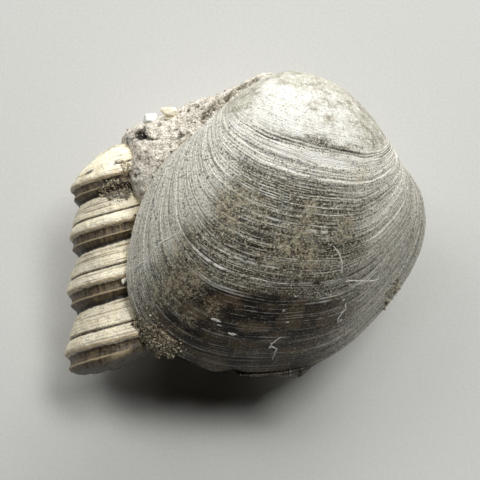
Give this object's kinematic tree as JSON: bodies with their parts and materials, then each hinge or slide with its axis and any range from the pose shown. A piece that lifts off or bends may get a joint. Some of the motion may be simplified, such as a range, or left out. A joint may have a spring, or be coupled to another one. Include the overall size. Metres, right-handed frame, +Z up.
{
  "type": "fossil bivalve",
  "caption": "Closed, inflated fossil clam with fine growth rings, set in a lump of sandstone with a ribbed tower snail along one side; it lies on the stone's flat break.",
  "frame": {"origin": "on the flat fracture face that the stone rests on, near its middle", "axes": "+Z up, square to the resting face; +X to the right across the clam and the snail, +Y towards the clam's hinge and the snail's missing tip"},
  "size_m": [0.0728, 0.0621, 0.0502],
  "materials": {
    "shell_upper": "satin fossil shell, grey-brown with fine pale growth lines, glossy where worn at the umbo",
    "shell_lower": "satin fossil shell, darker, with fine growth lines",
    "snail_shell": "matt cream to tan fossil shell with spiral ribs and dark sediment in the grooves",
    "sandstone": "rough pinkish-grey fine sandstone",
    "white_shell_bit": "chalky white broken shell",
    "cream_shell_bit": "matt cream broken shell",
    "grey_shell_bit": "matt dark grey broken shell"
  },
  "bodies": {
    "root": {"upper_valve": "shell_upper", "lower_valve": "shell_lower", "tower_snail": "snail_shell", "matrix": "sandstone", "white_fragment": "white_shell_bit", "cream_fragment": "cream_shell_bit", "grey_fragment": "grey_shell_bit"}
  },
  "joints": []
}
